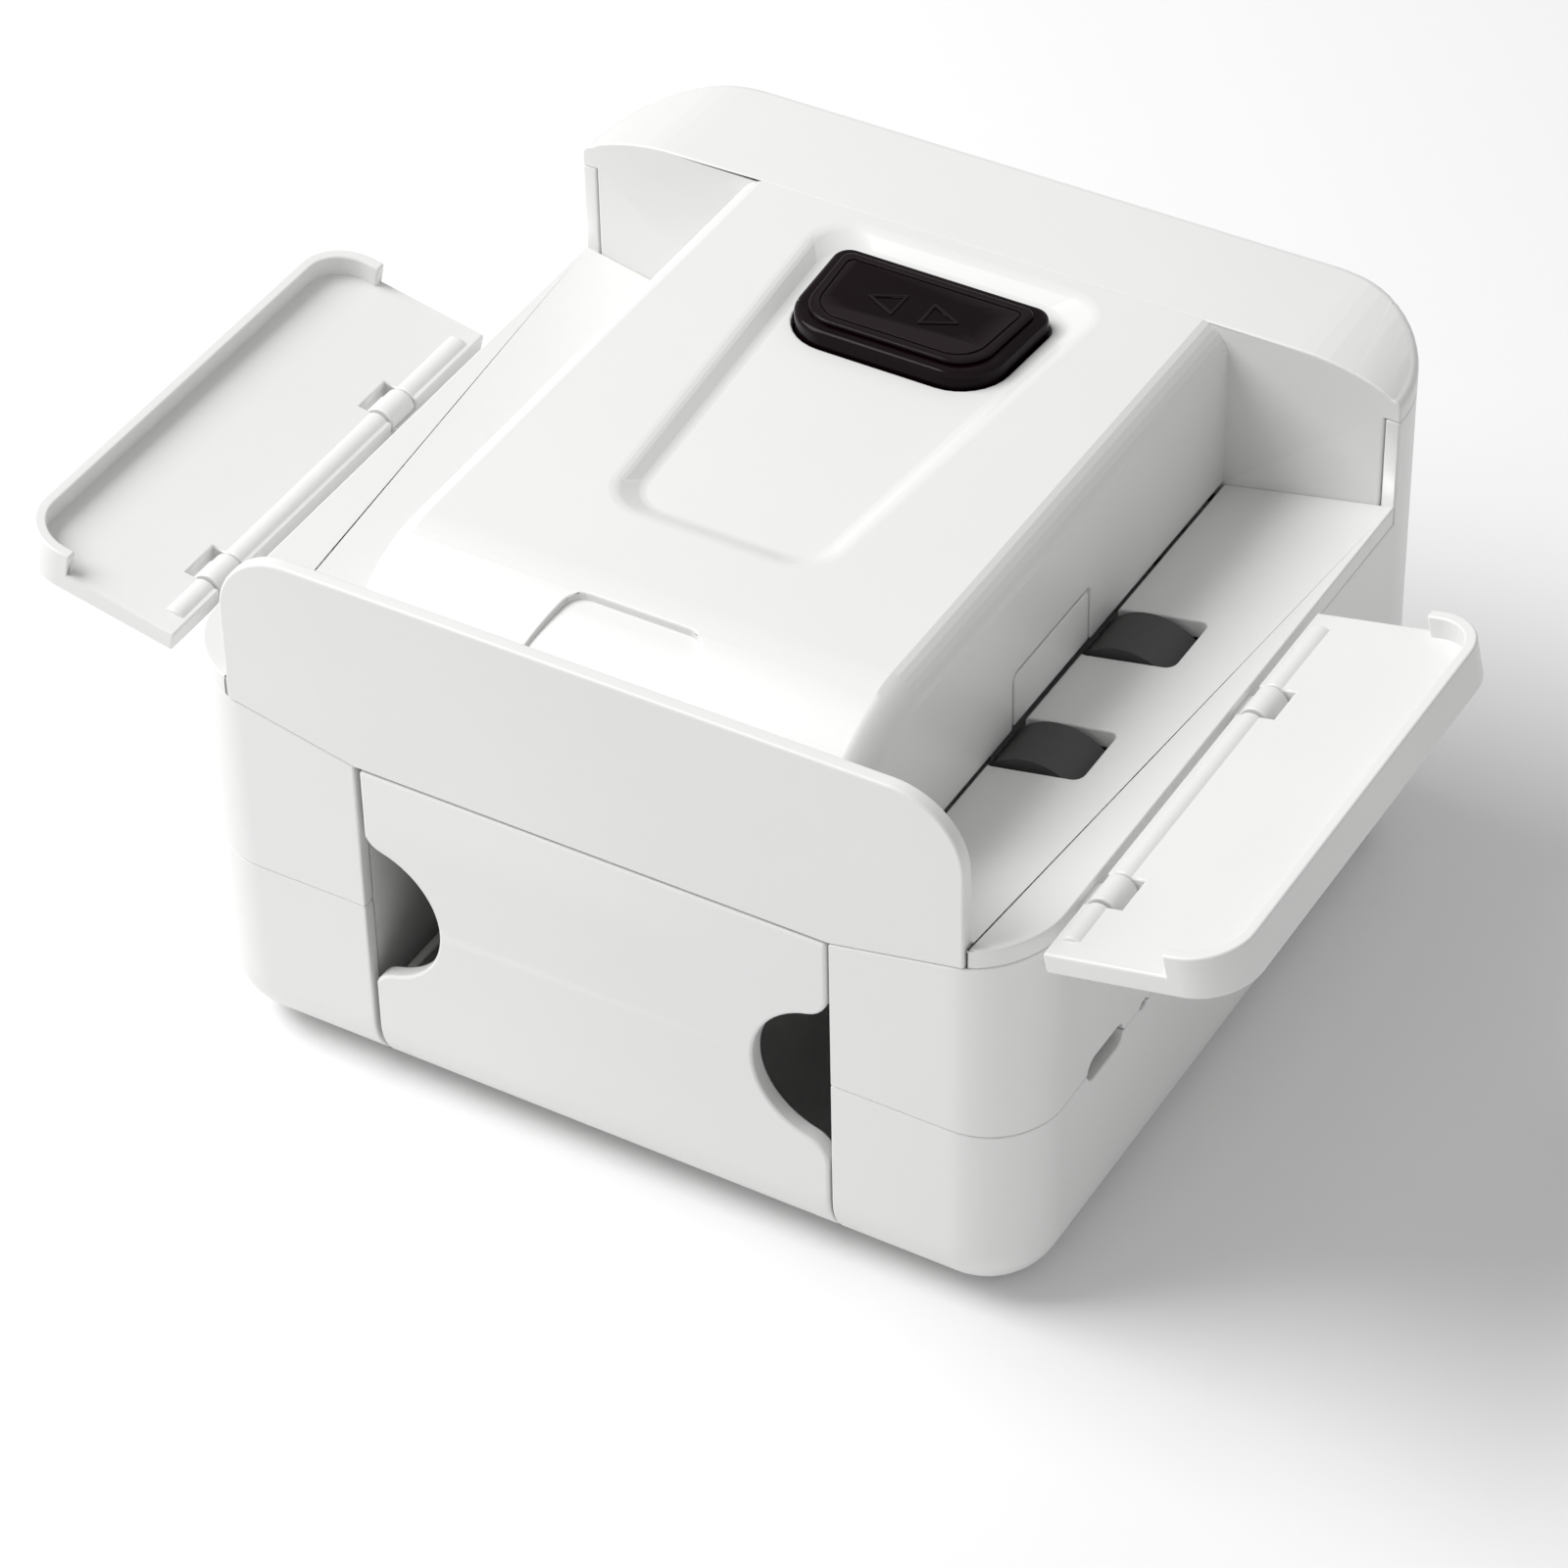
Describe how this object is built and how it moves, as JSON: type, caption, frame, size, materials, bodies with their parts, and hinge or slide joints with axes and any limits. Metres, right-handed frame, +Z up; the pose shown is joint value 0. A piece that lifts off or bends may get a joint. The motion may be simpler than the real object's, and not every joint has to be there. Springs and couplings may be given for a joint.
{
  "type": "automatic card shuffler",
  "caption": "Table-top automatic card shuffler with two tilted card bays, a start button on the bridge, fold-up wings and a pull-out card drawer.",
  "frame": {"origin": "centre of the footprint at the underside of the feet", "axes": "+X to the right as seen from the drawer side, +Y to the tall back block, +Z up"},
  "size_m": [0.169, 0.116, 0.0803],
  "materials": {
    "white_abs": "satin",
    "tray_plastic": "fine texture",
    "black_gloss": "polished",
    "gear_plastic": "moulded",
    "rubber": "soft",
    "steel": "bright",
    "brass": "turned",
    "board_green": "solder mask",
    "black_plastic": "moulded",
    "cell_wrap": "shrink wrap",
    "led_clear": "clear",
    "wire_red": "wire cover",
    "wire_yellow": "wire cover",
    "wire_blue": "wire cover"
  },
  "bodies": {
    "case": {"bottom_shell": "white_abs", "body_shell": "white_abs", "top_cover": "white_abs", "front_wall": "white_abs", "left_shelf": "white_abs", "right_shelf": "white_abs", "left_wing_pin": "steel", "right_wing_pin": "steel", "button_springs": "steel", "switch_body": "black_plastic", "switch_board": "board_green", "left_frame": "tray_plastic", "right_frame": "tray_plastic", "gearbox_plate": "tray_plastic", "gear_cover": "tray_plastic", "idler_posts": "steel", "compound_post": "steel", "motor_can": "steel", "motor_cap": "gear_plastic", "shaft_bushes": "brass", "battery_cell": "cell_wrap", "battery_cradle": "black_plastic", "main_board": "board_green", "usb_socket": "steel", "charge_led": "led_clear", "board_chips": "black_plastic", "feet": "rubber", "case_screws": "steel", "board_screws": "steel", "switch_screws": "steel", "motor_screws": "steel", "gearbox_screws": "steel", "battery_lead": "wire_red", "motor_lead": "wire_yellow", "switch_lead": "wire_blue"},
    "drawer": {"drawer_front": "white_abs", "drawer_tray": "tray_plastic"},
    "start_button": {"button_cap": "black_gloss", "switch_plunger": "black_plastic"},
    "left_wing": {"left_wing": "white_abs"},
    "right_wing": {"right_wing": "white_abs"},
    "left_gate": {"left_gate": "white_abs"},
    "right_gate": {"right_gate": "white_abs"},
    "left_feed": {"left_shaft": "steel", "left_shaft_gear": "gear_plastic", "left_wheel_hubs": "gear_plastic", "left_tyres": "rubber"},
    "right_feed": {"right_shaft": "steel", "right_shaft_gear": "gear_plastic", "right_wheel_hubs": "gear_plastic", "right_tyres": "rubber"},
    "idler_a": {"idler_a": "gear_plastic"},
    "idler_b": {"idler_b": "gear_plastic"},
    "compound_gear": {"compound_gear": "gear_plastic"},
    "motor_rotor": {"motor_shaft": "steel", "motor_pinion": "brass"}
  },
  "joints": [
    {"name": "drawer_slide", "type": "slide", "parent": "case", "child": "drawer", "axis": [0, -1, 0], "range_m": [0, 0.075]},
    {"name": "button_press", "type": "slide", "parent": "case", "child": "start_button", "axis": [0, 0, -1], "range_m": [0, 0.0012], "stiffness_N_per_m": 600, "springref_m": -0.001, "deforming": ["button_springs"]},
    {"name": "left_wing_fold", "type": "hinge", "parent": "case", "child": "left_wing", "pos_m": [-0.0622, 0, 0.05911], "axis": [0, 1, 0], "range_deg": [0, 78]},
    {"name": "right_wing_fold", "type": "hinge", "parent": "case", "child": "right_wing", "pos_m": [0.0622, 0, 0.05911], "axis": [0, -1, 0], "range_deg": [0, 78]},
    {"name": "left_gate_swing", "type": "hinge", "parent": "case", "child": "left_gate", "pos_m": [-0.0343, 0, 0.06189], "axis": [0, -1, 0], "range_deg": [0, 20], "stiffness_Nm_per_rad": 0.002, "springref_deg": -8.59},
    {"name": "right_gate_swing", "type": "hinge", "parent": "case", "child": "right_gate", "pos_m": [0.0343, 0, 0.06189], "axis": [0, 1, 0], "range_deg": [0, 20], "stiffness_Nm_per_rad": 0.002, "springref_deg": -8.59},
    {"name": "left_feed_spin", "type": "hinge", "parent": "case", "child": "left_feed", "pos_m": [-0.0416, 0, 0.04877], "axis": [0, 1, 0], "continuous": true},
    {"name": "right_feed_spin", "type": "hinge", "parent": "case", "child": "right_feed", "pos_m": [0.0416, 0, 0.04877], "axis": [0, 1, 0], "continuous": true},
    {"name": "idler_a_spin", "type": "hinge", "parent": "case", "child": "idler_a", "pos_m": [-0.0168, 0, 0.04877], "axis": [0, 1, 0], "continuous": true},
    {"name": "idler_b_spin", "type": "hinge", "parent": "case", "child": "idler_b", "pos_m": [0.0168, 0, 0.04877], "axis": [0, 1, 0], "continuous": true},
    {"name": "compound_spin", "type": "hinge", "parent": "case", "child": "compound_gear", "pos_m": [-0.03341, 0, 0.03625], "axis": [0, 1, 0], "continuous": true},
    {"name": "motor_spin", "type": "hinge", "parent": "case", "child": "motor_rotor", "pos_m": [-0.04652, 0, 0.02707], "axis": [0, 1, 0], "continuous": true}
  ],
  "couplings": [
    {"joint": "right_feed_spin", "follows": "left_feed_spin", "ratio": -1},
    {"joint": "idler_a_spin", "follows": "left_feed_spin", "ratio": -0.47619},
    {"joint": "idler_b_spin", "follows": "left_feed_spin", "ratio": 0.47619},
    {"joint": "compound_spin", "follows": "left_feed_spin", "ratio": 2},
    {"joint": "motor_spin", "follows": "left_feed_spin", "ratio": -6}
  ]
}
